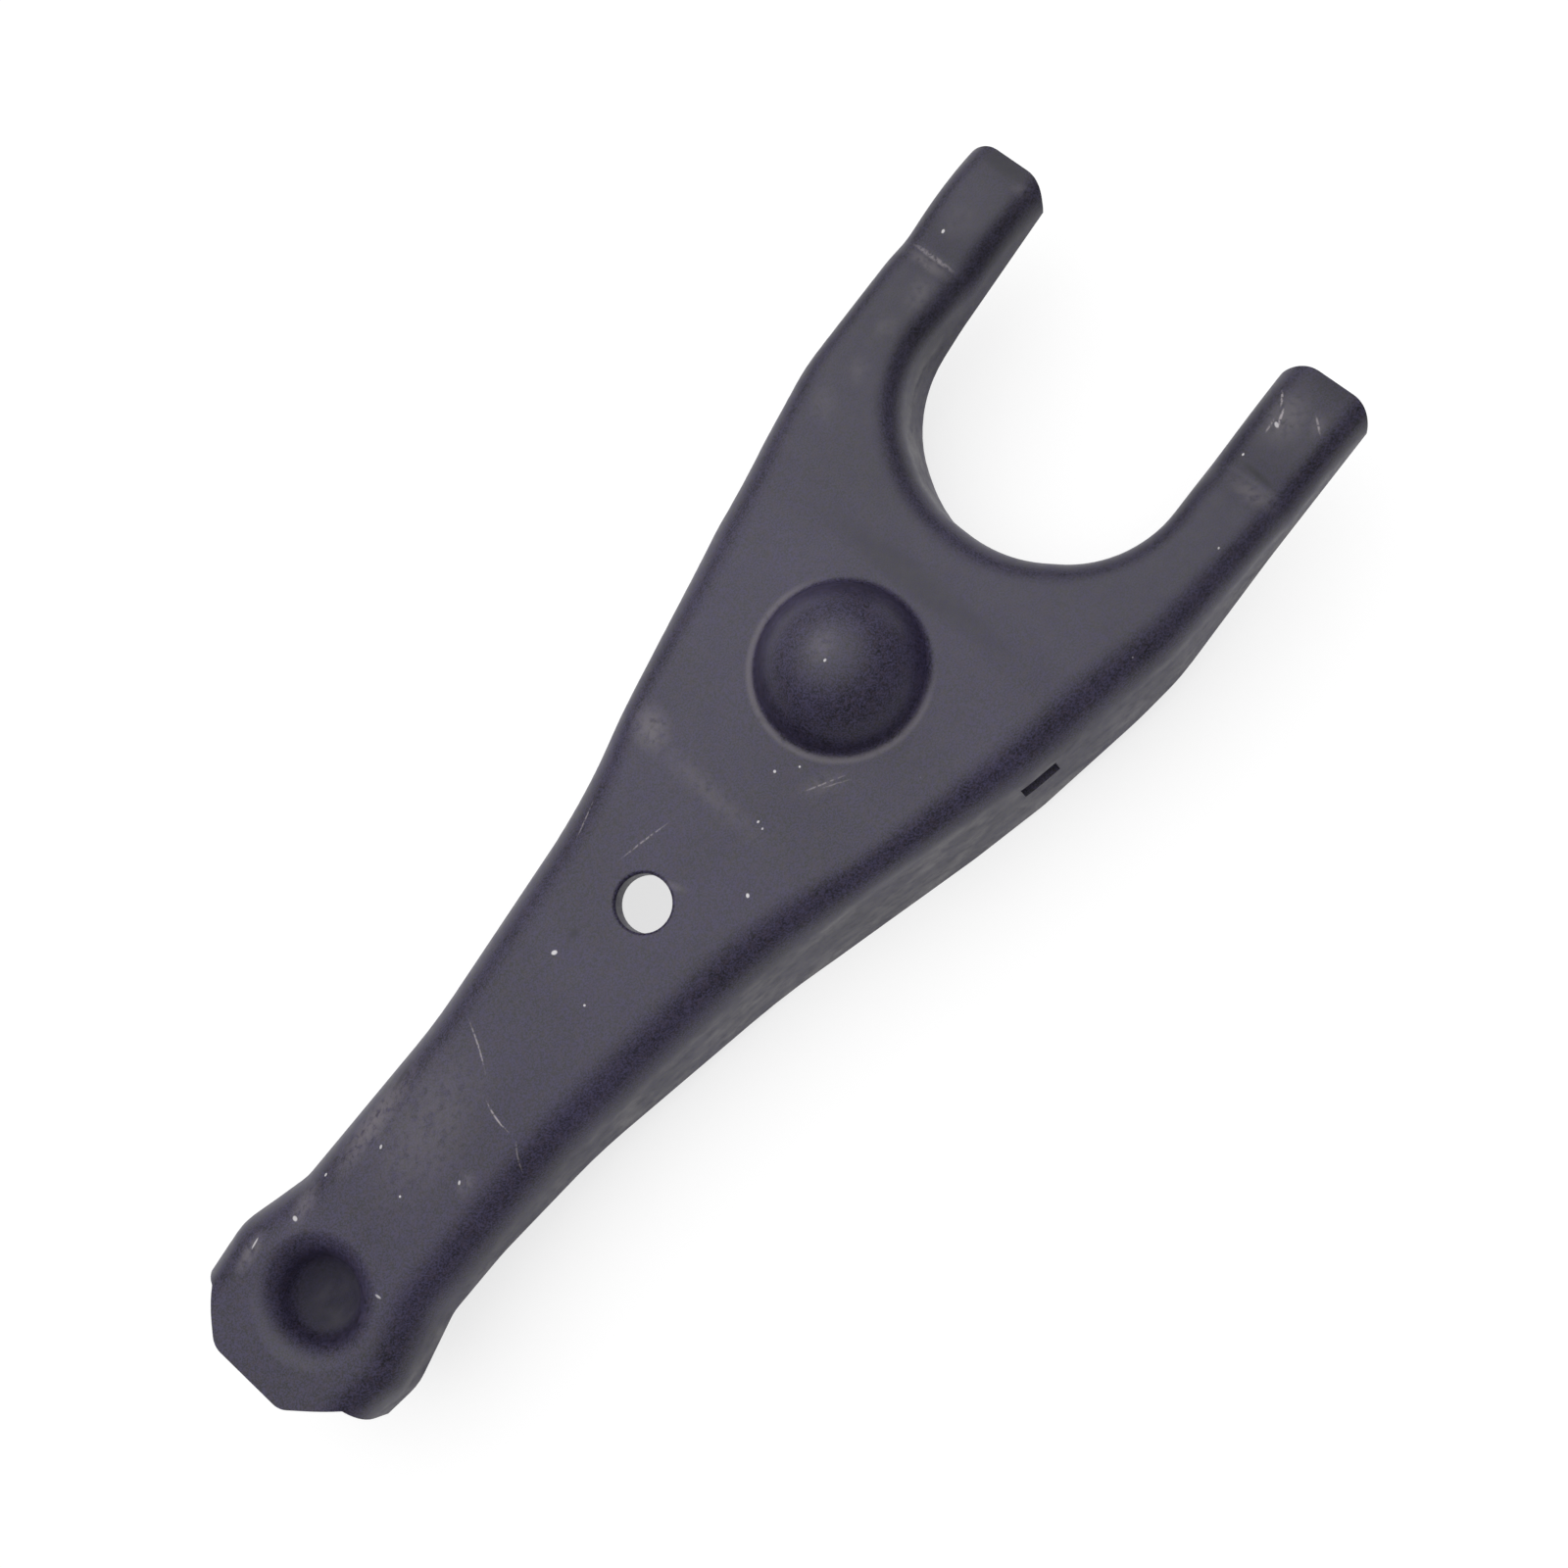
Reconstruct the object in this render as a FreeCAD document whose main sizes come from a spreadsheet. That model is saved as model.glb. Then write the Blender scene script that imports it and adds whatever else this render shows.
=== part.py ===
"""Clutch release fork: one piece of pressed sheet steel, folded into a tapering channel.

Frame: +X runs along the fork towards the finger tips, +Y to the left finger and +Z out of the
web.  The origin is the centre of the ball seat, where the middle of the pivot ball comes to rest.
"""
import FreeCAD, Part

import math
import os

import Sketcher

# Driving dimensions, in millimetres and degrees
SIZES = [
    ("sheet_thickness", 3.0),
    ("wall_draft", 6.0),
    ("wall_start", 5.0),
    ("wall_reach", 39.0),
    # plan outline of the web: stations along the fork and half widths
    ("end_x", -130.0),
    ("end_half", 13.0),
    ("head_x", -108.8),
    ("head_half", 15.3),
    ("neck_x", -98.5),
    ("neck_half", 12.65),
    ("arm_x", -70.5),
    ("arm_half", 12.6),
    ("flare_x", -36.0),
    ("flare_half", 16.3),
    ("shoulder_x", 4.0),
    ("shoulder_half", 26.35),
    ("crotch_x", 27.5),
    ("crotch_half", 30.45),
    ("tip_x", 63.9),
    ("finger_outer", 31.35),
    ("finger_inner", 18.6),
    ("throat_side_x", 32.2),
    ("throat_side_half", 20.3),
    ("throat_base_x", 23.3),
    ("throat_base_half", 6.65),
    # corner radii of the plan outline
    ("head_round", 8.0),
    ("neck_round", 9.0),
    ("arm_round", 80.0),
    ("flare_round", 120.0),
    ("shoulder_round", 25.0),
    ("crotch_round", 30.0),
    ("throat_side_round", 15.8),
    ("throat_base_round", 19.8),
    # side profile of the web, from the arm to the finger pads
    ("arm_z", 4.0),
    ("crease_x", -22.6),
    ("dip_x", 11.5),
    ("dip_z", 3.1),
    ("rise_x", 17.5),
    ("rise_z", 3.8),
    ("hollow_x", 45.5),
    ("hollow_z", 4.4),
    ("pad_x", 48.9),
    ("pad_z", 3.6),
    ("crown_x", 57.5),
    ("crown_z", 6.5),
    ("beyond_x", 72.0),
    ("beyond_z", 2.5),
    ("crease_round", 24.0),
    ("dip_round", 14.0),
    ("rise_round", 14.0),
    ("hollow_round", 12.0),
    ("pad_round", 1.6),
    ("crown_round", 22.0),
    # lower edges of the flanges
    ("block_floor_z", -26.0),
    ("tip_edge_z", 4.1),
    ("toe_x", 45.0),
    ("toe_z", -3.9),
    ("belly_x", 20.0),
    ("belly_z", -14.2),
    ("keel_front_x", -8.0),
    ("keel_back_x", -31.0),
    ("keel_z", -18.9),
    ("heel_x", -88.0),
    ("heel_z", -4.8),
    ("keel_round", 14.0),
    # sheared end of the web at the arm's head
    ("shear_left_x", -121.1),
    ("shear_left_half", 6.4),
    ("shear_right_x", -120.3),
    ("shear_right_half", 5.9),
    ("shear_round", 3.2),
    ("ear_left_x", -116.2),
    ("ear_right_x", -114.6),
    ("ear_half", 12.3),
    ("clear_half", 45.0),
    # rounded corners of the fingers' sheared ends, clear of the flanges' slope
    ("corner_x", 52.0),
    ("corner_outer", 32.6),
    ("corner_inner", 17.8),
    ("corner_round", 4.8),
    # outer radii of the bends between web and flanges
    ("head_bend", 6.0),
    ("arm_bend", 7.0),
    ("crease_bend", 5.0),
    ("seat_bend", 6.6),
    ("finger_bend", 4.0),
    ("throat_bend", 5.0),
    # ball seat, pushrod cup, hole and clip slots
    ("seat_radius", 8.7),
    ("seat_foot_round", 1.3),
    ("axis_x", 0.0),
    ("cup_x", -107.0),
    ("cup_top_z", 6.0),
    ("cup_lip_r", 9.4),
    ("cup_mouth_r", 6.6),
    ("cup_floor_r", 4.4),
    ("cup_floor_z", -1.4),
    ("cup_lip_round", 4.0),
    ("cup_floor_round", 3.9),
    ("cup_rim_r", 12.4),
    ("cup_rim_z", 2.5),
    ("cup_back_r", 9.9),
    ("cup_base_r", 7.5),
    ("cup_back_z", 1.0),
    ("cup_base_z", -4.4),
    ("cup_back_round", 4.5),
    ("cup_base_round", 5.6),
    ("hole_x", -39.2),
    ("hole_radius", 3.8),
    ("hole_rim_round", 0.6),
    ("slot_x", 2.6),
    ("slot_length", 5.6),
    ("slot_top_z", -3.1),
    ("slot_height", 4.0),
]

doc = FreeCAD.newDocument("clutch_fork")
sheet = doc.addObject("Spreadsheet::Sheet", "Sizes")
for row, (alias, amount) in enumerate(SIZES, start=1):
    sheet.set(f"A{row}", alias)
    sheet.set(f"B{row}", str(amount))
    sheet.setAlias(f"B{row}", alias)
doc.recompute()


def size(alias):
    """Return the number that the sheet holds under an alias."""
    return float(getattr(sheet, alias))


def signed(term):
    """Return the value of a term such as "head_half" or "-head_half"."""
    return -size(term[1:]) if term.startswith("-") else size(term)


def bound(term):
    """Return the expression that binds a term to its cell of the sheet."""
    return f"-Sizes.{term[1:]}" if term.startswith("-") else f"Sizes.{term}"


def rounded_sketch(name, corners, placement=FreeCAD.Placement()):
    """Draw a closed outline of lines joined by tangent arcs, bound to the sheet.

    corners holds (x term, y term, radius term or None) in order round the outline.
    """
    sketch = doc.addObject("Sketcher::SketchObject", name)
    sketch.Placement = placement
    points = [FreeCAD.Vector(signed(x), signed(y), 0) for x, y, _ in corners]
    count = len(points)
    entries = []
    exits = []
    arcs = {}
    for index, (_, _, radius_term) in enumerate(corners):
        here = points[index]
        back = (points[index - 1] - here).normalize()
        ahead = (points[(index + 1) % count] - here).normalize()
        entries.append(here)
        exits.append(here)
        if radius_term is None:
            continue
        radius = size(radius_term)
        half_angle = back.getAngle(ahead) / 2
        reach = radius / math.tan(half_angle)
        centre = here + (back + ahead).normalize() * (radius / math.sin(half_angle))
        middle = centre + (here - centre).normalize() * radius
        entries[index] = here + back * reach
        exits[index] = here + ahead * reach
        arc = sketch.addGeometry(Part.Arc(entries[index], middle, exits[index]), False)
        turns_left = back.cross(ahead).z < 0
        arcs[index] = (arc, 1, 2) if turns_left else (arc, 2, 1)
    sides = []
    for index in range(count):
        side = Part.LineSegment(exits[index], entries[(index + 1) % count])
        sides.append(sketch.addGeometry(side, False))
    for index, (x_term, y_term, radius_term) in enumerate(corners):
        before = sides[index - 1]
        after = sides[index]
        if index in arcs:
            arc, entry, leave = arcs[index]
            corner = sketch.addGeometry(Part.Point(points[index]), True)
            sketch.addConstraint(Sketcher.Constraint("Tangent", before, 2, arc, entry))
            sketch.addConstraint(Sketcher.Constraint("Tangent", arc, leave, after, 1))
            sketch.addConstraint(Sketcher.Constraint("PointOnObject", corner, 1, before))
            sketch.addConstraint(Sketcher.Constraint("PointOnObject", corner, 1, after))
            bind(sketch, Sketcher.Constraint("Radius", arc, size(radius_term)), radius_term)
            held = (corner, 1)
        else:
            sketch.addConstraint(Sketcher.Constraint("Coincident", before, 2, after, 1))
            held = (after, 1)
        bind(sketch, Sketcher.Constraint("DistanceX", -1, 1, *held, points[index].x), x_term)
        bind(sketch, Sketcher.Constraint("DistanceY", -1, 1, *held, points[index].y), y_term)
    return sketch


def bind(sketch, constraint, term):
    """Add a dimension to a sketch and bind it to the sheet."""
    number = sketch.addConstraint(constraint)
    sketch.setExpression(f"Constraints[{number}]", bound(term))


PLAN = [
    ("end_x", "end_half", None),
    ("head_x", "head_half", "head_round"),
    ("neck_x", "neck_half", "neck_round"),
    ("arm_x", "arm_half", "arm_round"),
    ("flare_x", "flare_half", "flare_round"),
    ("shoulder_x", "shoulder_half", "shoulder_round"),
    ("crotch_x", "crotch_half", "crotch_round"),
    ("beyond_x", "finger_outer", None),
    ("beyond_x", "finger_inner", None),
    ("throat_side_x", "throat_side_half", "throat_side_round"),
    ("throat_base_x", "throat_base_half", "throat_base_round"),
]
PLAN += [(x, "-" + y, radius) for x, y, radius in reversed(PLAN)]

TOP = [
    ("end_x", "arm_z", None),
    ("crease_x", "arm_z", "crease_round"),
    ("dip_x", "dip_z", "dip_round"),
    ("rise_x", "rise_z", "rise_round"),
    ("hollow_x", "hollow_z", "hollow_round"),
    ("pad_x", "pad_z", "pad_round"),
    ("crown_x", "crown_z", "crown_round"),
    ("beyond_x", "beyond_z", None),
    ("beyond_x", "block_floor_z", None),
    ("end_x", "block_floor_z", None),
]
LOWER_EDGE = [
    ("beyond_x", "tip_edge_z", None),
    ("toe_x", "toe_z", "keel_round"),
    ("belly_x", "belly_z", "keel_round"),
    ("keel_front_x", "keel_z", "keel_round"),
    ("keel_back_x", "keel_z", "keel_round"),
    ("heel_x", "heel_z", "keel_round"),
    ("end_x", "heel_z", None),
    ("end_x", "wall_reach", None),
    ("beyond_x", "wall_reach", None),
]
UPWARD = 0.8
UPRIGHT = FreeCAD.Placement(FreeCAD.Vector(), FreeCAD.Rotation(FreeCAD.Vector(1, 0, 0), 90))

plan = rounded_sketch("web_outline", PLAN)
side = rounded_sketch("side_outline", TOP, UPRIGHT)


def slab_from(name, outline):
    """Extrude an upright outline to both sides of the middle, past the walls."""
    slab = doc.addObject("Part::Extrusion", name)
    slab.Base = outline
    slab.DirMode = "Normal"
    slab.Symmetric = True
    slab.Solid = True
    slab.setExpression("LengthFwd", "2 * Sizes.clear_half")
    return slab


def walled_block(name, inset, drop):
    """Make a block with drafted walls inside the web outline, under the side outline."""
    outline = doc.addObject("Part::Offset2D", name + "_outline")
    outline.Source = plan
    outline.setExpression("Value", f"-Sizes.wall_start * tan(Sizes.wall_draft * 1deg) - ({inset})")
    outline.setExpression("Placement.Base.z", "Sizes.arm_z + Sizes.wall_start")
    walls = doc.addObject("Part::Extrusion", name + "_walls")
    walls.Base = outline
    walls.DirMode = "Custom"
    walls.Dir = FreeCAD.Vector(0, 0, -1)
    walls.setExpression("LengthFwd", "Sizes.wall_reach")
    walls.Solid = True
    walls.setExpression("TaperAngle", "Sizes.wall_draft")
    slab = slab_from(name + "_slab", side)
    slab.setExpression("Placement.Base.z", f"-({drop})")
    block = doc.addObject("Part::Common", name + "_block")
    block.Base = walls
    block.Tool = slab
    doc.recompute()
    return block


def between(amount, stations):
    """Return the value at an amount, in straight lines between (amount, value) stations."""
    if amount <= stations[0][0]:
        return stations[0][1]
    for (low, value_low), (high, value_high) in zip(stations, stations[1:]):
        if amount <= high:
            return value_low + (value_high - value_low) * (amount - low) / (high - low)
    return stations[-1][1]


def in_throat(point):
    """Tell whether a point of the web's edge is on the throat between the fingers."""
    return point.x > size("dip_x") and abs(point.y) < size("throat_side_half") + size("sheet_thickness")


def bend_radius(point):
    """Return the outer bend radius at a point of the web's edge."""
    if in_throat(point):
        return between(
            abs(point.y),
            [
                (size("throat_base_half"), size("throat_bend")),
                (size("finger_inner"), size("finger_bend")),
            ],
        )
    stations = [
        (size("head_x"), size("head_bend")),
        (size("neck_x"), size("arm_bend")),
        (size("flare_x"), size("arm_bend")),
        (size("crease_x"), size("crease_bend")),
        (size("crease_x") / 2, size("seat_bend")),
        (size("shoulder_x"), size("seat_bend")),
        (size("crotch_x"), size("finger_bend")),
    ]
    return between(point.x, stations)


def walk_order(point):
    """Return a number that grows on the way round the edge: out along +Y, back along -Y."""
    if in_throat(point):
        return -point.y
    return math.copysign(point.x, point.x * point.y)


def faces_up(face):
    """Tell whether a face belongs to the web: its middle looks upwards."""
    u_low, u_high, v_low, v_high = face.ParameterRange
    return face.normalAt((u_low + u_high) / 2, (v_low + v_high) / 2).z > UPWARD


def bent_block(block, inset):
    """Round the edges between the web and the walls, with radii that follow the sheet."""
    shape = block.Shape
    web = [face for face in shape.Faces if faces_up(face)]
    rounds = []
    for number, edge in enumerate(shape.Edges, start=1):
        owners = sum(any(edge.isSame(side) for side in face.Edges) for face in web)
        at_tail = edge.BoundBox.XMax < size("shear_left_x")
        at_tips = edge.BoundBox.XMin > (size("tip_x") + size("beyond_x")) / 2
        if owners != 1 or at_tail and edge.BoundBox.YLength > size("head_half") or at_tips:
            continue
        ends = [edge.valueAt(edge.FirstParameter), edge.valueAt(edge.LastParameter)]
        first, last = sorted(ends, key=walk_order)
        rounds.append((number, bend_radius(first) - inset, bend_radius(last) - inset))
    bent = doc.addObject("Part::Fillet", block.Name.replace("block", "bent"))
    bent.Base = block
    bent.Edges = rounds
    doc.recompute()
    return bent


def boolean(kind, name, base, tool):
    """Add a Part boolean of two objects."""
    result = doc.addObject(kind, name)
    result.Base = base
    result.Tool = tool
    return result


def turned(name, sketch, x_term):
    """Revolve an upright sketch about the vertical line through a station."""
    solid = doc.addObject("Part::Revolution", name)
    solid.Source = sketch
    solid.Axis = FreeCAD.Vector(0, 0, 1)
    solid.Angle = 360
    solid.Solid = True
    solid.setExpression("Placement.Base.x", bound(x_term))
    return solid


# the folded channel
channel = boolean(
    "Part::Cut",
    "channel",
    bent_block(walled_block("outer", "0", "0"), 0.0),
    bent_block(
        walled_block("inner", "Sizes.sheet_thickness", "Sizes.sheet_thickness"),
        size("sheet_thickness"),
    ),
)

# lower edges of the flanges, and the sheared ends of the head and the fingers
SHEAR = [
    ("corner_x", "clear_half", None),
    ("ear_left_x", "clear_half", None),
    ("ear_left_x", "ear_half", None),
    ("shear_left_x", "shear_left_half", "shear_round"),
    ("shear_right_x", "-shear_right_half", "shear_round"),
    ("ear_right_x", "-ear_half", None),
    ("ear_right_x", "-clear_half", None),
    ("corner_x", "-clear_half", None),
    ("corner_x", "-corner_outer", None),
    ("tip_x", "-corner_outer", "corner_round"),
    ("tip_x", "-corner_inner", "corner_round"),
    ("corner_x", "-corner_inner", None),
    ("corner_x", "corner_inner", None),
    ("tip_x", "corner_inner", "corner_round"),
    ("tip_x", "corner_outer", "corner_round"),
    ("corner_x", "corner_outer", None),
]
blank = doc.addObject("Part::Extrusion", "blank_outline")
blank.Base = rounded_sketch("shear_line", SHEAR)
blank.DirMode = "Normal"
blank.Symmetric = True
blank.Solid = True
blank.setExpression("LengthFwd", "2 * Sizes.wall_reach")
trim = slab_from("lower_edge_slab", rounded_sketch("lower_edge", LOWER_EDGE, UPRIGHT))
trimmed = boolean("Part::Common", "trimmed_channel", channel, trim)
sheared = boolean("Part::Common", "sheared_channel", trimmed, blank)

# ball seat: a cap raised from the web, hollow below
cap = doc.addObject("Part::Sphere", "seat_cap")
cap.setExpression("Radius", "Sizes.seat_radius + Sizes.sheet_thickness")
cap.setExpression("Angle1", "asin((Sizes.arm_z - Sizes.sheet_thickness) * 1mm / Radius)")
capped = boolean("Part::Fuse", "capped_channel", sheared, cap)
doc.recompute()


def spherical(face):
    """Tell whether a face lies on a sphere."""
    return isinstance(face.Surface, Part.Sphere)


def borders(shape, edge, wanted):
    """Tell whether exactly one of the faces beside an edge is of the wanted kind."""
    beside = [face for face in shape.Faces if any(edge.isSame(side) for side in face.Edges)]
    return sum(wanted(face) for face in beside) == 1


def rounded(name, base, wanted, radius_term):
    """Fillet the edges of an object that the test picks, all with one radius."""
    radius = size(radius_term)
    rounds = []
    for number, edge in enumerate(base.Shape.Edges, start=1):
        if wanted(base.Shape, edge):
            rounds.append((number, radius, radius))
    fillet = doc.addObject("Part::Fillet", name)
    fillet.Base = base
    fillet.Edges = rounds
    doc.recompute()
    return fillet


def is_seat_foot(shape, edge):
    """Tell whether an edge is where the seat cap meets the top of the web."""
    near = edge.BoundBox.Center.Length < 2 * size("seat_radius")
    on_top = edge.BoundBox.ZMin > size("dip_z") - size("sheet_thickness") / 2
    return near and on_top and borders(shape, edge, spherical)


footed = rounded("footed_seat", capped, is_seat_foot, "seat_foot_round")
socket = doc.addObject("Part::Sphere", "seat_socket")
socket.setExpression("Radius", "Sizes.seat_radius")
seated = boolean("Part::Cut", "seated_channel", footed, socket)

# pushrod cup, pressed into the head from above
CUP_AIR = [
    ("axis_x", "cup_top_z", None),
    ("axis_x", "cup_floor_z", None),
    ("cup_floor_r", "cup_floor_z", "cup_floor_round"),
    ("cup_mouth_r", "arm_z", "cup_lip_round"),
    ("cup_lip_r", "arm_z", None),
    ("cup_lip_r", "cup_top_z", None),
]
CUP_BACK = [
    ("axis_x", "cup_rim_z", None),
    ("axis_x", "cup_base_z", None),
    ("cup_base_r", "cup_base_z", "cup_base_round"),
    ("cup_back_r", "cup_back_z", "cup_back_round"),
    ("cup_rim_r", "cup_back_z", None),
    ("cup_rim_r", "cup_rim_z", None),
]
cup_back = turned("cup_back", rounded_sketch("cup_back_outline", CUP_BACK, UPRIGHT), "cup_x")
cup_air = turned("cup_hollow", rounded_sketch("cup_outline", CUP_AIR, UPRIGHT), "cup_x")
backed = boolean("Part::Fuse", "backed_channel", seated, cup_back)
cupped = boolean("Part::Cut", "cupped_channel", backed, cup_air)

# punched hole in the web
punch = doc.addObject("Part::Cylinder", "hole_punch")
punch.setExpression("Radius", "Sizes.hole_radius")
punch.setExpression("Placement.Base.x", "Sizes.hole_x")
punch.setExpression("Placement.Base.z", "-Sizes.wall_reach")
punch.setExpression("Height", "2 * Sizes.wall_reach")
holed = boolean("Part::Cut", "holed_channel", cupped, punch)
doc.recompute()


def is_hole_rim(shape, edge):
    """Tell whether an edge is the upper rim of the punched hole."""
    middle = edge.BoundBox.Center
    over_hole = abs(middle.x - size("hole_x")) < size("hole_radius") and edge.BoundBox.YLength > 0
    narrow = edge.BoundBox.YLength < 2 * size("seat_radius")
    return over_hole and narrow and middle.z > size("dip_z") and borders(shape, edge, faces_up)


rimmed = rounded("rimmed_hole", holed, is_hole_rim, "hole_rim_round")

# slot for the spring clip in each flange
slot = doc.addObject("Part::Box", "clip_slots")
slot.setExpression("Length", "Sizes.slot_length")
slot.setExpression("Height", "Sizes.slot_height")
slot.setExpression("Width", "2 * Sizes.clear_half")
slot.setExpression("Placement.Base.x", "Sizes.slot_x")
slot.setExpression("Placement.Base.y", "-Sizes.clear_half")
slot.setExpression("Placement.Base.z", "Sizes.slot_top_z - Sizes.slot_height")
fork = boolean("Part::Cut", "clutch_fork", rimmed, slot)
doc.recompute()

for item in doc.Objects:
    if "Invalid" in item.State or "Error" in item.State:
        raise RuntimeError(f"{item.Label} did not recompute: {item.State}")
if fork.Shape.isNull() or not fork.Shape.isValid() or len(fork.Shape.Solids) != 1:
    raise RuntimeError(f"{fork.Label} is not one valid solid")

os.makedirs("parts", exist_ok=True)
fork.Shape.exportStep(f"parts/{fork.Label}.step")
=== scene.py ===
"""A clutch release fork in coated pressed steel, lying on a pale floor under soft studio light.

Frame, in metres: +X along the fork towards the finger tips, +Y to the left finger and +Z out of
the web.  The origin is the centre of the ball seat under the dome.
"""

import logging
import math
from collections.abc import Iterable
from dataclasses import dataclass, field
from typing import NamedTuple, Optional, Union

import bmesh
import bpy
from mathutils import Matrix, Vector

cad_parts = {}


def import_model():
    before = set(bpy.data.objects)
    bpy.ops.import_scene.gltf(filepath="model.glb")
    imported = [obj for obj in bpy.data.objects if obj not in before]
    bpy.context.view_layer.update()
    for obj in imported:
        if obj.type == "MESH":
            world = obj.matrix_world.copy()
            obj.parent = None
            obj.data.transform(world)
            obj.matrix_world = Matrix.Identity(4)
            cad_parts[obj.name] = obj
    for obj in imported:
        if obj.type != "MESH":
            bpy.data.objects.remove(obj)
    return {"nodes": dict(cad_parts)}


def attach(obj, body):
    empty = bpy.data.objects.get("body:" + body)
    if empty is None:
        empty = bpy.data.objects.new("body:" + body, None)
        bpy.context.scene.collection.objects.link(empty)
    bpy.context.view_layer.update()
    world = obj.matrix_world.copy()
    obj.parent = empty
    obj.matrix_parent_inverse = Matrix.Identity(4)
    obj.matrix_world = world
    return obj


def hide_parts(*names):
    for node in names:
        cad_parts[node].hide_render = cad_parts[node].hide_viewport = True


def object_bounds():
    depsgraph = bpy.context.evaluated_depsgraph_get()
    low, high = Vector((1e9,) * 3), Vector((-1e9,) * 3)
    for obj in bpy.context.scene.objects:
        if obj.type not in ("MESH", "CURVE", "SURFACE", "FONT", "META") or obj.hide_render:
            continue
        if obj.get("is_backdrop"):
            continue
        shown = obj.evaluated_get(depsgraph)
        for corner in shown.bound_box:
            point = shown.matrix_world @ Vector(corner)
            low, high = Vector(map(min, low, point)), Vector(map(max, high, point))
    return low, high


LOG = logging.getLogger("clutch_fork")
MM = 0.001
MM_PER_METRE = 1000.0
WHITE = (1.0, 1.0, 1.0, 1.0)

Socket = bpy.types.NodeSocket
Triple = tuple[float, float, float]
Feed = Optional[Union[Socket, float, Triple]]


class Mark(NamedTuple):
    """A mark on the web's upper side: place and size in millimetres, turn in degrees."""

    x: float
    y: float
    long: float
    wide: float
    turn: float = 0.0
    strength: float = 1.0
    bow: float = 0.0


class Ramp(NamedTuple):
    """A smooth rise from 0 to top as a value goes from start to end."""

    start: float
    end: float
    top: float = 1.0


class Pattern(NamedTuple):
    """Noise whose features are about one size across, in millimetres."""

    size: float
    detail: float = 2.0
    stretch: Triple = (1.0, 1.0, 1.0)


class Dots(NamedTuple):
    """Fine specks: their spacing in millimetres, radius as its share, and share of places held."""

    apart: float
    radius: float
    share: float


RUBBED_AND_HIGHLIGHTS = (
    Mark(-84.5, 9.3, 24.0, 6.0, 4.0, 0.62),
    Mark(-80.0, 3.0, 34.0, 18.0, 10.0, 0.26),
    Mark(-99.0, 9.5, 9.0, 4.5, 12.0, 0.45),
    Mark(-109.0, 10.8, 9.0, 3.4, 8.0, 0.5),
    Mark(-81.5, -5.6, 5.0, 3.6, 20.0, 0.4),
    Mark(-21.6, 14.2, 10.0, 7.0, 60.0, 0.55),
    # Along the crease across the web: a painted highlight on the fold
    Mark(-22.9, 3.0, 30.0, 5.0, 88.0, 0.22),
    Mark(-35.0, -1.4, 1.8, 7.0, 20.0, 0.3),
    Mark(-12.8, -8.0, 10.0, 4.4, -30.0, 0.22),
    # A light patch near the dome's top: partly dusty coat, partly a painted highlight on the dome
    Mark(0.4, 1.4, 7.0, 5.0, 20.0, 0.30),
    Mark(43.4, 23.4, 7.4, 5.2, 10.0, 0.42),
    Mark(37.6, 24.3, 5.0, 4.4, 0.0, 0.30),
    Mark(31.2, 23.4, 6.0, 5.0, 30.0, 0.26),
    Mark(25.0, 24.2, 8.0, 5.4, 30.0, 0.20),
    # Lines across both fingers at the step up to the pads: painted highlights on the risers
    Mark(47.2, 25.4, 2.8, 9.4, 0.0, 0.8),
    Mark(47.6, -25.8, 4.0, 9.0, 4.0, 0.65),
    Mark(56.8, -23.4, 10.0, 7.0, 10.0, 0.6),
    Mark(58.4, -26.8, 4.4, 2.8, 30.0, 0.4),
    Mark(53.4, 25.5, 7.0, 7.0, 0.0, 0.22),
    Mark(61.3, 21.6, 2.6, 3.4, 40.0, 0.35),
)
SCRATCHES_AND_STEP_HIGHLIGHT = (
    Mark(-67.5, 4.7, 9.2, 0.34, 61.0, 0.55, -1.8),
    Mark(-72.6, -3.3, 6.2, 0.34, 80.0, 0.7, 2.6),
    Mark(-74.3, -8.6, 5.6, 0.34, 48.0, 0.25, 1.5),
    Mark(-33.0, 5.2, 9.6, 0.32, -13.5, 0.5, 0.8),
    Mark(-36.2, 13.5, 7.0, 0.32, 17.7, 0.4),
    Mark(-12.6, -8.1, 8.0, 0.3, -29.0, 0.4),
    Mark(-11.6, -9.3, 5.0, 0.26, -33.0, 0.3),
    Mark(56.6, -22.8, 3.2, 0.45, 22.0, 0.7, 0.8),
    Mark(55.2, -22.4, 2.4, 0.4, 8.0, 0.7),
    Mark(58.6, -21.4, 2.8, 0.4, 34.0, 0.6, -0.7),
    Mark(58.3, -26.9, 3.0, 0.4, 50.0, 0.5),
    # Across the left finger at the step: a painted highlight on the riser
    Mark(48.4, 25.4, 0.9, 8.8, 0.0, 0.34),
)
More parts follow.
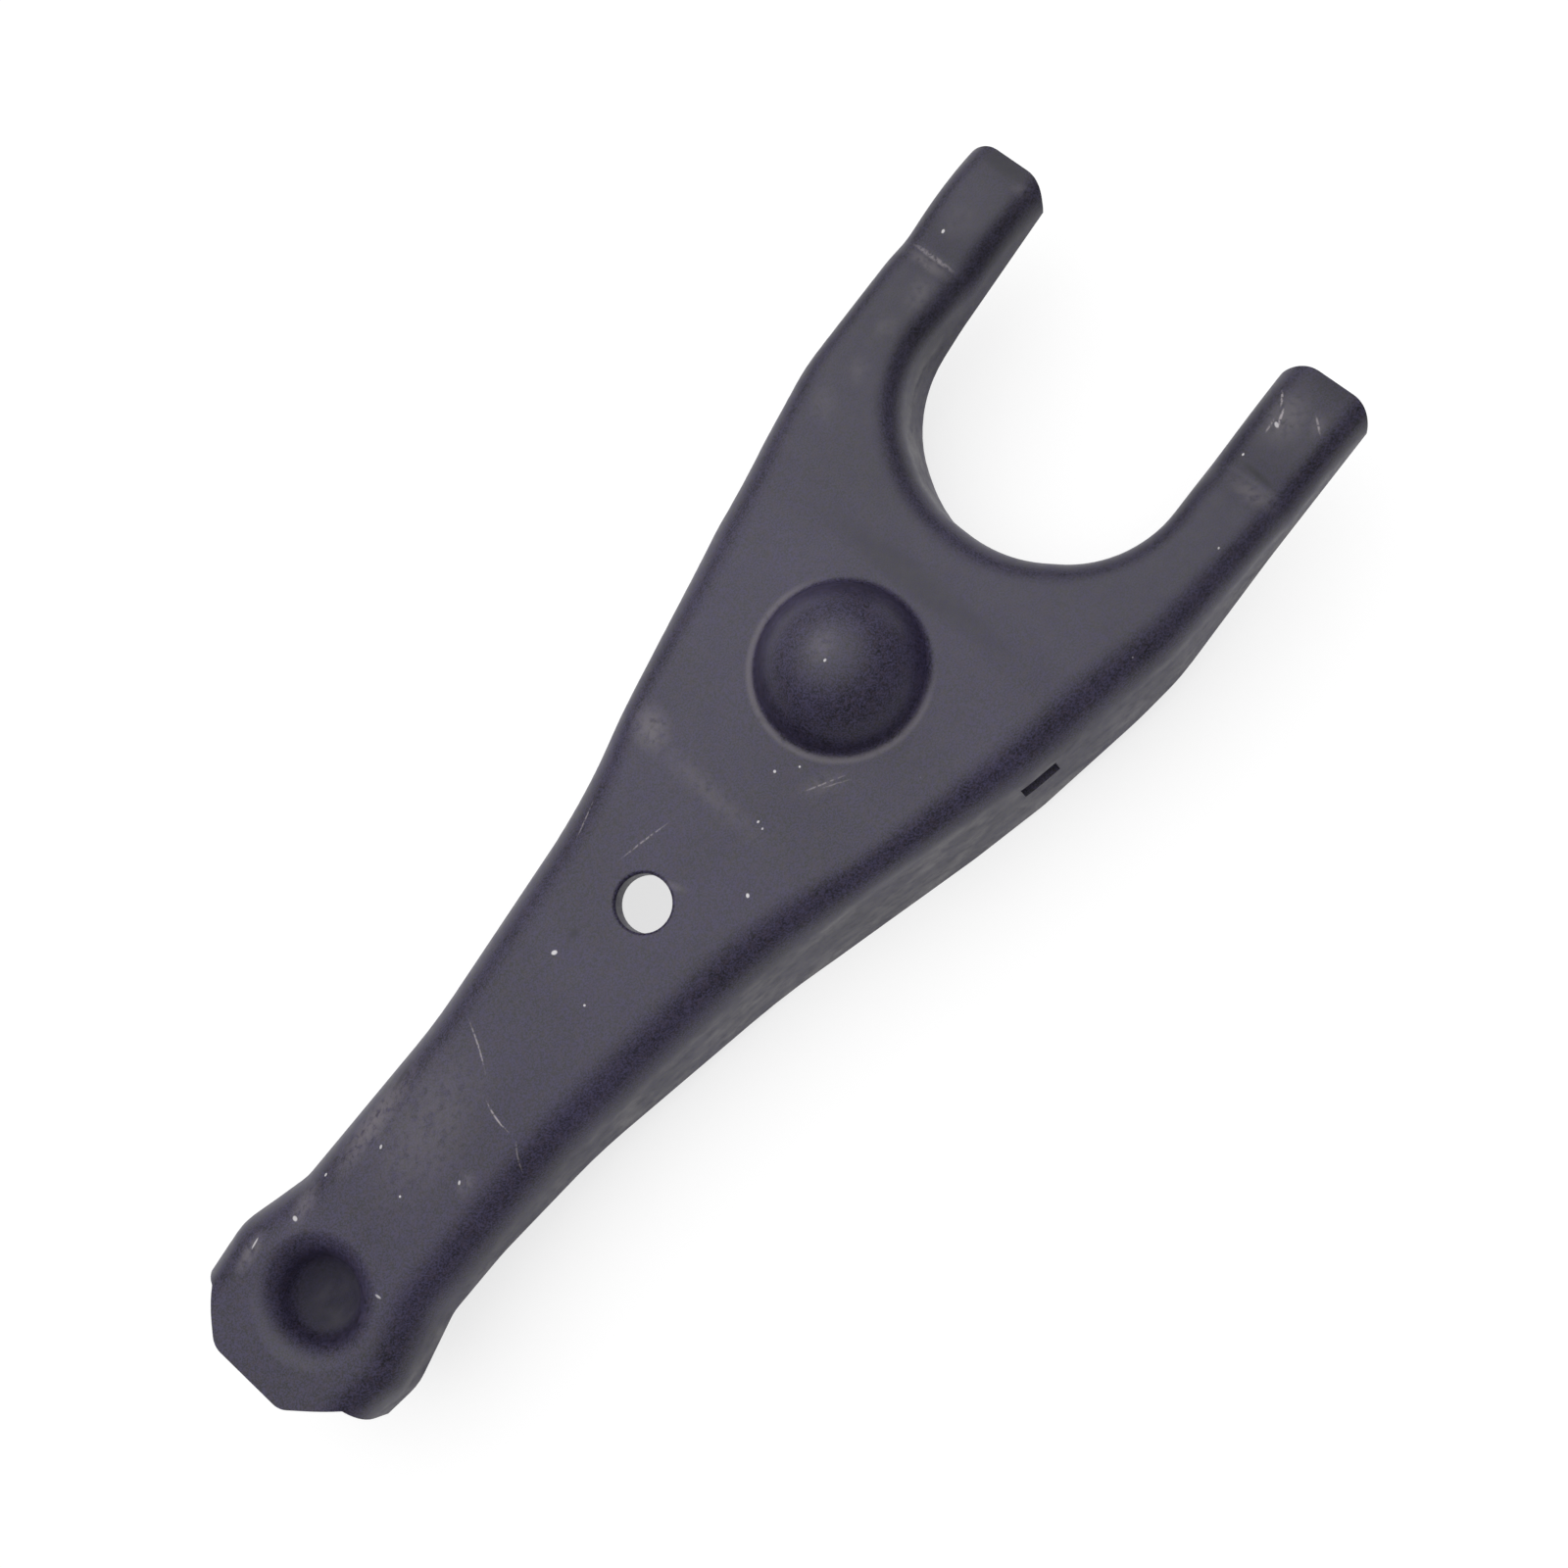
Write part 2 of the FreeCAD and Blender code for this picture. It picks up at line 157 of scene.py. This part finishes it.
FLECKS = (
    Mark(-51.7, 4.9, 1.04, 0.72, -30.0, 1.0),
    Mark(-54.0, -2.7, 0.4, 0.4, 0.0, 0.9),
    Mark(-29.5, -9.9, 0.72, 0.56, 50.0, 1.0),
    Mark(-21.6, -4.8, 0.48, 0.36, 0.0, 0.9),
    Mark(-21.9, -5.8, 0.4, 0.32, 0.0, 0.8),
    Mark(-15.4, -2.2, 0.48, 0.48, 0.0, 0.9),
    Mark(-12.9, -4.3, 0.36, 0.36, 0.0, 0.9),
    Mark(-0.7, -0.2, 0.56, 0.4, 0.0, 0.9),
    Mark(-88.9, -0.1, 0.4, 0.4, 0.0, 0.9),
    Mark(-82.0, -5.0, 0.72, 0.4, 30.0, 0.8),
    Mark(-101.3, 9.1, 0.72, 1.04, 10.0, 0.8),
    Mark(-94.5, 9.9, 0.64, 0.4, 0.0, 0.8),
    Mark(-100.2, -6.4, 0.4, 1.12, 10.0, 0.6),
    Mark(-107.6, 11.2, 1.92, 0.32, 15.0, 0.7),
    Mark(-86.1, 6.2, 0.72, 0.4, 20.0, 0.8),
    Mark(51.6, 26.4, 0.64, 0.48, 0.0, 1.0),
    Mark(50.8, -22.0, 0.4, 0.32, 0.0, 1.0),
    Mark(40.0, -27.1, 0.4, 0.28, 20.0, 0.7),
    Mark(55.6, -23.0, 0.96, 0.56, 60.0, 0.7),
)
STAINS_AND_SHADE = (
    Mark(-48.1, 4.5, 2.6, 1.6, -10.0, 0.7),
    Mark(-77.9, 10.6, 6.4, 1.1, 8.0, 0.55),
    Mark(-85.2, 11.5, 5.0, 0.9, 4.0, 0.5),
    # Dark lines across both fingers just beyond the steps: painted shade at the foot of the risers
    Mark(49.9, -24.8, 1.3, 9.0, -4.0, 0.95),
    Mark(50.4, 25.2, 2.6, 9.0, 0.0, 0.25),
    # The finger tips darker: painted shade where the tips slope away
    Mark(62.6, 25.2, 4.4, 12.0, 0.0, 0.8),
    Mark(62.8, -25.2, 3.6, 12.0, 0.0, 0.5),
    # The bend band across the web ahead of the dome: painted shade
    Mark(14.6, 0.0, 6.4, 48.0, 0.0, 0.5),
    # The whole finger section darker: painted shade
    Mark(46.0, 0.0, 84.0, 110.0, 0.0, 0.5),
)
# The cup's floor darker: partly dirty coat, partly painted shade in the recess
CUP_DIRT_AND_SHADE = Mark(-107.0, 0.0, 13.0, 13.0, 0.0, 0.3)

# The share of each mark, from its rim inwards, that is its soft edge
RUBBED_AND_HIGHLIGHT_EDGE = 1.0
SCRATCH_AND_HIGHLIGHT_EDGE = 0.7
FLECK_EDGE = 0.45
STAIN_AND_SHADE_EDGE = 0.8
CUP_EDGE = 0.5


@dataclass(frozen=True)
class StudioCamera:
    """The camera, held above the fork and turned so that the fork runs up the picture."""

    eye: Vector = Vector((-5.19, -53.53, 194.87)) * MM
    target: Vector = Vector((-15.83, -4.24, 4.0)) * MM
    heading_deg: float = 41.0
    lens_mm: float = 35.87
    sensor_mm: float = 36.0
    clip_near: float = 0.01

    def build(self) -> bpy.types.Object:
        """Make the camera and give it to the scene.

        Returns:
            The camera object.
        """
        back = (self.eye - self.target).normalized()
        heading = math.radians(self.heading_deg)
        hint = Vector((math.cos(heading), math.sin(heading), 0.0))
        right = hint.cross(back).normalized()
        up = back.cross(right)
        turned = Matrix((right, up, back)).transposed().to_4x4()
        data = bpy.data.cameras.new("camera")
        data.lens = self.lens_mm
        data.sensor_width = self.sensor_mm
        data.clip_start = self.clip_near
        camera = bpy.data.objects.new("camera", data)
        camera.matrix_world = Matrix.Translation(self.eye) @ turned
        bpy.context.scene.collection.objects.link(camera)
        bpy.context.scene.camera = camera
        return camera


@dataclass(frozen=True)
class Studio:
    """The pale glowing floor and the soft overhead light round the fork."""

    floor_z: float
    floor_size: float = 3.0
    floor_tone: float = 0.3
    floor_glow: float = 0.72
    floor_roughness: float = 0.8
    sky_low: float = 0.25
    sky_high: float = 2.2
    lobe_axis: Vector = Vector((0.12, 0.32, 0.92))
    lobe_edges: tuple[float, float] = (0.5, 1.0)

    def build(self) -> None:
        """Make the floor and the light."""
        self._floor()
        self._sky()

    def _floor(self) -> None:
        """Lay a pale sheet, lit from within like a light table, under the fork."""
        mesh = bpy.data.meshes.new("floor")
        grid = bmesh.new()
        bmesh.ops.create_grid(grid, x_segments=1, y_segments=1, size=self.floor_size / 2)
        bmesh.ops.translate(grid, verts=grid.verts, vec=(0.0, 0.0, self.floor_z))
        grid.to_mesh(mesh)
        grid.free()
        floor = bpy.data.objects.new("floor", mesh)
        bpy.context.scene.collection.objects.link(floor)
        paint = bpy.data.materials.new("floor_paint")
        paint.use_nodes = True
        shader = paint.node_tree.nodes["Principled BSDF"]
        shader.inputs["Base Color"].default_value = (self.floor_tone,) * 3 + (1.0,)
        shader.inputs["Roughness"].default_value = self.floor_roughness
        shader.inputs["Emission Color"].default_value = WHITE
        shader.inputs["Emission Strength"].default_value = self.floor_glow
        mesh.materials.append(paint)
        floor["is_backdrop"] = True

    def _sky(self) -> None:
        """Fill the surroundings with soft light that is brightest overhead."""
        world = bpy.data.worlds.new("sky")
        world.use_nodes = True
        nodes = world.node_tree.nodes
        links = world.node_tree.links
        direction = nodes.new("ShaderNodeTexCoord")
        towards = nodes.new("ShaderNodeVectorMath")
        towards.operation = "DOT_PRODUCT"
        towards.inputs[1].default_value = self.lobe_axis.normalized()
        level = nodes.new("ShaderNodeMapRange")
        level.interpolation_type = "SMOOTHSTEP"
        level.inputs["From Min"].default_value = self.lobe_edges[0]
        level.inputs["From Max"].default_value = self.lobe_edges[1]
        level.inputs["To Min"].default_value = self.sky_low
        level.inputs["To Max"].default_value = self.sky_high
        links.new(direction.outputs["Generated"], towards.inputs[0])
        links.new(towards.outputs["Value"], level.inputs["Value"])
        links.new(level.outputs["Result"], nodes["Background"].inputs["Strength"])
        nodes["Background"].inputs["Color"].default_value = WHITE
        bpy.context.scene.world = world


class NodeBench:
    """Short ways to add nodes to one material's tree, working in millimetres."""

    # A mark's third scale, in millimetres; its mask goes by x and y alone
    mark_height: float = 1000.0

    def __init__(self, material: bpy.types.Material) -> None:
        """Start on a material and find each point's place in millimetres.

        Args:
            material: the material whose nodes are made.
        """
        material.use_nodes = True
        self.nodes = material.node_tree.nodes
        self.links = material.node_tree.links
        self.shader = self.nodes["Principled BSDF"]
        metres = self.nodes.new("ShaderNodeTexCoord").outputs["Object"]
        self.place = self.vector("SCALE", metres, None, MM_PER_METRE)
        apart = self.nodes.new("ShaderNodeSeparateXYZ")
        self.links.new(self.place, apart.inputs[0])
        self.x, self.y, self.z = apart.outputs

    def feed(self, socket: Socket, value: Feed) -> None:
        """Link a socket to another, or set the number or colour that it holds.

        Args:
            socket: the input to fill.
            value: the output, number, vector or colour that goes in; None leaves it as it is.
        """
        if isinstance(value, bpy.types.NodeSocket):
            self.links.new(value, socket)
        elif isinstance(value, tuple) and len(value) == 3 and socket.type == "RGBA":
            socket.default_value = (*value, 1.0)
        elif value is not None:
            socket.default_value = value

    def math(self, operation: str, first: Feed, second: Feed = None) -> Socket:
        """Work out one number from one or two others with a Math node.

        Args:
            operation: the Math node's operation.
            first: its first number.
            second: its second number, where the operation takes two.

        Returns:
            The result.
        """
        node = self.nodes.new("ShaderNodeMath")
        node.operation = operation
        self.feed(node.inputs[0], first)
        self.feed(node.inputs[1], second)
        return node.outputs[0]

    def vector(self, operation: str, first: Feed, second: Feed, scale: Feed = 1.0) -> Socket:
        """Work out one vector with a Vector Math node.

        Args:
            operation: the Vector Math node's operation.
            first: its first vector.
            second: its second vector, or None.
            scale: the factor, used by SCALE only.

        Returns:
            The resulting vector.
        """
        node = self.nodes.new("ShaderNodeVectorMath")
        node.operation = operation
        self.feed(node.inputs[0], first)
        self.feed(node.inputs[1], second)
        if operation == "SCALE":
            self.feed(node.inputs[3], scale)
        return node.outputs["Vector"]

    def ease(self, value: Feed, ramp: Ramp) -> Socket:
        """Turn a number into a smooth rise.

        Args:
            value: the number.
            ramp: where the rise starts and ends, and how high it goes.

        Returns:
            The height of the rise at that number.
        """
        node = self.nodes.new("ShaderNodeMapRange")
        node.interpolation_type = "SMOOTHSTEP"
        self.feed(node.inputs["Value"], value)
        node.inputs["From Min"].default_value = ramp.start
        node.inputs["From Max"].default_value = ramp.end
        node.inputs["To Max"].default_value = ramp.top
        return node.outputs["Result"]

    def noise(self, pattern: Pattern) -> Socket:
        """Spread noise over the surface.

        Args:
            pattern: the noise's size, detail and stretch.

        Returns:
            The noise, about 0.5 on average.
        """
        node = self.nodes.new("ShaderNodeTexNoise")
        spread = self.vector("DIVIDE", self.place, pattern.stretch)
        self.links.new(spread, node.inputs["Vector"])
        node.inputs["Scale"].default_value = 1.0 / pattern.size
        node.inputs["Detail"].default_value = pattern.detail
        return node.outputs["Fac"]

    def specks(self, dots: Dots) -> Socket:
        """Scatter fine specks over the surface.

        Args:
            dots: how far apart, how large and how many they are.

        Returns:
            The mask of the specks.
        """
        node = self.nodes.new("ShaderNodeTexVoronoi")
        self.links.new(self.place, node.inputs["Vector"])
        node.inputs["Scale"].default_value = 1.0 / dots.apart
        held = self.ease(node.outputs["Color"], Ramp(1.0 - dots.share, 1.0))
        near = self.ease(node.outputs["Distance"], Ramp(dots.radius, dots.radius / 2))
        return self.math("MULTIPLY", held, near)

    def mix(self, amount: Feed, under: Feed, over: Feed) -> Socket:
        """Lay one colour over another.

        Args:
            amount: how much of the upper colour shows, up to 1.
            under: the lower colour.
            over: the upper colour.

        Returns:
            The mixed colour.
        """
        node = self.nodes.new("ShaderNodeMix")
        node.data_type = "RGBA"
        self.feed(node.inputs["Factor"], amount)
        self.feed(node.inputs["A"], under)
        self.feed(node.inputs["B"], over)
        return node.outputs["Result"]

    def total(self, operation: str, values: Iterable[Socket]) -> Socket:
        """Gather several numbers into one.

        Args:
            operation: the Math node's operation that joins each two.
            values: the numbers.

        Returns:
            The gathered number.
        """
        gathered, *rest = values
        for value in rest:
            gathered = self.math(operation, gathered, value)
        return gathered

    def spot(self, mark: Mark, edge: float) -> Socket:
        """Mask one mark: its strength inside, falling to 0 at its rim.

        Args:
            mark: the place, size and strength.
            edge: the share of the mark that is its soft edge, up to 1.

        Returns:
            The mask.
        """
        local = self.nodes.new("ShaderNodeMapping")
        local.vector_type = "TEXTURE"
        self.links.new(self.place, local.inputs["Vector"])
        local.inputs["Location"].default_value = (mark.x, mark.y, 0.0)
        local.inputs["Rotation"].default_value = (0.0, 0.0, math.radians(mark.turn))
        local.inputs["Scale"].default_value = (mark.long / 2, mark.wide / 2, self.mark_height)
        apart = self.nodes.new("ShaderNodeSeparateXYZ")
        self.links.new(local.outputs["Vector"], apart.inputs[0])
        along = self.math("MULTIPLY", apart.outputs[0], apart.outputs[0])
        across = apart.outputs[1]
        if mark.bow:
            across = self.math("ADD", across, self.math("MULTIPLY", along, mark.bow))
        across = self.math("MULTIPLY", across, across)
        reach = self.math("SQRT", self.math("ADD", along, across))
        return self.ease(reach, Ramp(1.0, 1.0 - edge, mark.strength))

    def spots(self, marks: Iterable[Mark], edge: float) -> Socket:
        """Mask several marks together.

        Each mark joins the others as soon as it is made, so that few masks are held at once.

        Args:
            marks: the marks.
            edge: the share of each that is its soft edge, up to 1.

        Returns:
            The mask.
        """
        first, *rest = marks
        gathered = self.spot(first, edge)
        for mark in rest:
            gathered = self.math("MAXIMUM", gathered, self.spot(mark, edge))
        return gathered


@dataclass(frozen=True)
class SatinCoat:
    """Thin dark satin coating on pressed steel, worn by rubbing, scratched and dusty from use,
    with painted shade and painted highlights in its colour.
    """

    # Colours, some of which also lay painted highlights, painted shade and painted reflection
    tone: Triple = (0.024, 0.020, 0.048)
    dust_and_highlight: Triple = (0.170, 0.154, 0.170)
    scratch_and_highlight: Triple = (0.42, 0.38, 0.40)
    fleck: Triple = (0.60, 0.58, 0.60)
    soot_and_shade: Triple = (0.006, 0.005, 0.012)
    blush: Triple = (0.042, 0.026, 0.040)
    drag_and_reflection: Triple = (0.150, 0.142, 0.148)
    # The coat itself
    grain: Pattern = Pattern(0.24)
    mottle: Pattern = Pattern(1.5, 3.0)
    cloud: Pattern = Pattern(14.0)
    grain_shade: Ramp = Ramp(0.34, 0.66, 1.5)
    mottle_shade: Ramp = Ramp(0.3, 0.7, 0.34)
    cloud_shade: Ramp = Ramp(0.3, 0.7, 0.3)
    shade_base: float = -0.06
    blush_spread: Pattern = Pattern(0.7, 1.0)
    blush_ramp: Ramp = Ramp(0.4, 0.75, 0.35)
    # Marks dragged by the press tool on the flanges, with painted reflection of the bright floor
    # on their lower parts
    flange_ramp: Ramp = Ramp(0.2, -2.4, 0.7)
    streak: Pattern = Pattern(3.0, 4.0, (1.8, 1.0, 1.0))
    streak_ramp: Ramp = Ramp(0.3, 0.7)
    patch: Pattern = Pattern(6.0, 3.0, (1.5, 1.0, 0.9))
    patch_ramp: Ramp = Ramp(0.32, 0.66)
    smear_ramp: Ramp = Ramp(0.5, 0.7, 0.5)
    # Wear, painted highlights and painted shade on the web, which begins above the bends
    web_ramp: Ramp = Ramp(1.4, 2.4)
    worn: Pattern = Pattern(0.9, 4.0)
    worn_ramp: Ramp = Ramp(0.26, 0.58)
    ring_radius: float = 11.9
    ring_ramp: Ramp = Ramp(0.75, 0.1, 0.42)
    ring_behind: Ramp = Ramp(8.5, 2.0)
    ring_broken: Ramp = Ramp(0.2, 0.5)
    cup_dirt_and_shade: float = 2.0
    scratch_break: Pattern = Pattern(0.5)
    scratch_ramp: Ramp = Ramp(0.36, 0.56)
    dots: Dots = Dots(3.4, 0.04, 0.16)
    # Gloss and relief
    roughness: float = 0.32
    grain_gloss: Ramp = Ramp(0.3, 0.7, 0.16)
    mottle_gloss: Ramp = Ramp(0.3, 0.7, 0.08)
    rubbed_gloss: float = 0.12
    flange_gloss: Ramp = Ramp(1.0, -3.0, 0.14)
    wave_height: float = 1.6
    grain_height: float = 0.5
    bump_height: float = 0.01 * MM

    def build(self) -> bpy.types.Material:
        """Make the material.

        Returns:
            The new material.
        """
        material = bpy.data.materials.new("satin_coat")
        bench = NodeBench(material)
        grain = bench.noise(self.grain)
        mottle = bench.noise(self.mottle)
        cloud = bench.noise(self.cloud)
        on_web = bench.ease(bench.z, self.web_ramp)
        colour = self._ground(bench, grain, mottle, cloud)
        colour = self._flange(bench, colour, mottle)
        rub_and_highlight_mask = self._rubbed_and_highlighted(bench, mottle, on_web)
        colour = bench.mix(rub_and_highlight_mask, colour, self.dust_and_highlight)
        colour = self._stained_and_shaded(bench, colour, on_web)
        colour = self._scratched(bench, colour, on_web)
        colour = self._flecked(bench, colour, on_web)
        bench.feed(bench.shader.inputs["Base Color"], colour)
        self._sheen(bench, grain, mottle, rub_and_highlight_mask)
        self._relief(bench, grain, mottle)
        return material

    def _ground(self, bench: NodeBench, grain: Socket, mottle: Socket, cloud: Socket) -> Socket:
        """Colour the clean coat with grain, mottling and slow clouds.

        Args:
            bench: the material's bench.
            grain: the fine noise.
            mottle: the middling noise.
            cloud: the slow noise.

        Returns:
            The colour.
        """
        parts = [
            bench.ease(grain, self.grain_shade),
            bench.ease(mottle, self.mottle_shade),
            bench.ease(cloud, self.cloud_shade),
        ]
        level = bench.math("ADD", bench.total("ADD", parts), self.shade_base)
        shade = bench.vector("SCALE", self.tone, None, level)
        warm = bench.ease(bench.noise(self.blush_spread), self.blush_ramp)
        return bench.mix(warm, shade, self.blush)

    def _flange(self, bench: NodeBench, colour: Socket, mottle: Socket) -> Socket:
        """Lay grey on the flanges' lower parts: marks dragged by the press tool, together with
        painted reflection of the bright floor.

        Args:
            bench: the material's bench.
            colour: the colour so far.
            mottle: the middling noise.

        Returns:
            The colour with the dragged marks and the painted reflection.
        """
        # Greyer towards the flanges' lower edges: marks dragged by the press tool, and painted
        # reflection of the bright floor
        low = bench.ease(bench.z, self.flange_ramp)
        streak = bench.noise(self.streak)
        patch = bench.ease(bench.noise(self.patch), self.patch_ramp)
        streak = bench.ease(streak, self.streak_ramp)
        grey = bench.math("MULTIPLY", streak, bench.math("MULTIPLY", patch, low))
        colour = bench.mix(grey, colour, self.drag_and_reflection)
        smear = bench.math("MULTIPLY", bench.ease(mottle, self.smear_ramp), low)
        return bench.mix(smear, colour, self.soot_and_shade)

    def _rubbed_and_highlighted(self, bench: NodeBench, mottle: Socket, on_web: Socket) -> Socket:
        """Find where the coat is dusty or worn thin by rubbing, with the ring round the dome, and
        the painted highlights along the crease, near the dome's top, on the finger steps and in
        part of the ring.

        Args:
            bench: the material's bench.
            mottle: the middling noise.
            on_web: the mask of the web.

        Returns:
            The mask of the wear and the painted highlights.
        """
        worn = bench.ease(bench.noise(self.worn), self.worn_ramp)
        patches_and_highlights = bench.math("MULTIPLY", bench.spots(RUBBED_AND_HIGHLIGHTS, RUBBED_AND_HIGHLIGHT_EDGE), worn)
        x_squared = bench.math("MULTIPLY", bench.x, bench.x)
        y_squared = bench.math("MULTIPLY", bench.y, bench.y)
        flat = bench.math("SQRT", bench.math("ADD", x_squared, y_squared))
        # The ring round the dome's foot, left out towards the front: partly worn coat, partly a
        # painted highlight on the fillet
        off = bench.math("ABSOLUTE", bench.math("SUBTRACT", flat, self.ring_radius))
        ring = bench.ease(off, self.ring_ramp)
        behind = bench.ease(bench.x, self.ring_behind)
        ring = bench.math("MULTIPLY", ring, behind)
        ring = bench.math("MULTIPLY", ring, bench.ease(mottle, self.ring_broken))
        return bench.math("MULTIPLY", bench.math("MAXIMUM", patches_and_highlights, ring), on_web)

    def _stained_and_shaded(self, bench: NodeBench, colour: Socket, on_web: Socket) -> Socket:
        """Darken the stained places, the painted shade on the bend band, the finger section, the
        finger tips and beside the steps, and the cup's floor, which is dirty and also darkened by
        painted shade.

        Args:
            bench: the material's bench.
            colour: the colour so far.
            on_web: the mask of the web.

        Returns:
            The colour with the stains and the painted shade.
        """
        stain_and_shade = bench.math("MULTIPLY", bench.spots(STAINS_AND_SHADE, STAIN_AND_SHADE_EDGE), on_web)
        # The cup's floor: partly dirty coat, partly painted shade in the recess
        dirt_and_shade = bench.math("MULTIPLY", bench.spot(CUP_DIRT_AND_SHADE, CUP_EDGE), self.cup_dirt_and_shade)
        return bench.mix(bench.math("MAXIMUM", stain_and_shade, dirt_and_shade), colour, self.soot_and_shade)

    def _scratched(self, bench: NodeBench, colour: Socket, on_web: Socket) -> Socket:
        """Draw the thin scratches, broken along their length, with a painted highlight across the
        left finger's step.

        Args:
            bench: the material's bench.
            colour: the colour so far.
            on_web: the mask of the web.

        Returns:
            The colour with the scratches and the painted highlight.
        """
        broken = bench.ease(bench.noise(self.scratch_break), self.scratch_ramp)
        lines = bench.math("MULTIPLY", bench.spots(SCRATCHES_AND_STEP_HIGHLIGHT, SCRATCH_AND_HIGHLIGHT_EDGE), on_web)
        return bench.mix(bench.math("MULTIPLY", lines, broken), colour, self.scratch_and_highlight)

    def _flecked(self, bench: NodeBench, colour: Socket, on_web: Socket) -> Socket:
        """Put on the pale flecks and the scattered dusting of specks.

        Args:
            bench: the material's bench.
            colour: the colour so far.
            on_web: the mask of the web.

        Returns:
            The colour with the flecks.
        """
        sparse = bench.specks(self.dots)
        flecks = bench.math("MAXIMUM", bench.spots(FLECKS, FLECK_EDGE), sparse)
        return bench.mix(bench.math("MULTIPLY", flecks, on_web), colour, self.fleck)

    def _sheen(self, bench: NodeBench, grain: Socket, mottle: Socket, rub_and_highlight_mask: Socket) -> None:
        """Let the gloss vary with the grain, the mottling and the wear.

        Args:
            bench: the material's bench.
            grain: the fine noise.
            mottle: the middling noise.
            rub_and_highlight_mask: the mask of the wear and the painted highlights.
        """
        parts = [
            bench.ease(grain, self.grain_gloss),
            bench.ease(mottle, self.mottle_gloss),
            bench.math("MULTIPLY", rub_and_highlight_mask, self.rubbed_gloss),
            bench.ease(bench.z, self.flange_gloss),
            bench.spot(CUP_DIRT_AND_SHADE, CUP_EDGE),
        ]
        level = bench.math("ADD", bench.total("ADD", parts), self.roughness)
        bench.feed(bench.shader.inputs["Roughness"], level)

    def _relief(self, bench: NodeBench, grain: Socket, mottle: Socket) -> None:
        """Raise the coat's grain and soft waves.

        Args:
            bench: the material's bench.
            grain: the fine noise.
            mottle: the middling noise.
        """
        waves = bench.math("MULTIPLY", mottle, self.wave_height)
        height = bench.math("ADD", bench.math("MULTIPLY", grain, self.grain_height), waves)
        bump = bench.nodes.new("ShaderNodeBump")
        bump.inputs["Distance"].default_value = self.bump_height
        bump.inputs["Strength"].default_value = 1.0
        bench.links.new(height, bump.inputs["Height"])
        bench.links.new(bump.outputs["Normal"], bench.shader.inputs["Normal"])


@dataclass
class PressedFork:
    """The fork itself: one folded sheet, shown as a smooth skin over its CAD node."""

    node: bpy.types.Object
    crease_deg: float = 32.0
    weld: float = 2e-6
    coat: SatinCoat = field(default_factory=SatinCoat)

    def build(self) -> bpy.types.Object:
        """Copy the CAD node as one welded skin and dress it.

        Returns:
            The finished piece.
        """
        mesh = self.node.data.copy()
        mesh.name = "pressed_fork"
        skin = bmesh.new()
        skin.from_mesh(mesh)
        bmesh.ops.remove_doubles(skin, verts=skin.verts, dist=self.weld)
        crease = math.radians(self.crease_deg)
        for edge in skin.edges:
            edge.smooth = len(edge.link_faces) == 2 and edge.calc_face_angle() < crease
        for face in skin.faces:
            face.smooth = True
        skin.to_mesh(mesh)
        skin.free()
        mesh.materials.clear()
        mesh.materials.append(self.coat.build())
        piece = bpy.data.objects.new("pressed_fork", mesh)
        bpy.context.scene.collection.objects.link(piece)
        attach(piece, "root")
        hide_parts("clutch_fork")
        return piece


def main() -> None:
    """Build the scene in order and note the fork and the studio in the log."""
    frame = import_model()
    cad_low, cad_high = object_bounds()
    fork = PressedFork(node=frame["nodes"]["clutch_fork"]).build()
    LOG.info("%s: %d faces", fork.name, len(fork.data.polygons))
    Studio(floor_z=cad_low.z).build()
    LOG.info("studio built, floor at %.4f", cad_low.z)
    StudioCamera().build()
    bpy.context.scene.view_settings.view_transform = "Standard"


if __name__ == "__main__":
    logging.basicConfig(level=logging.INFO)
    main()
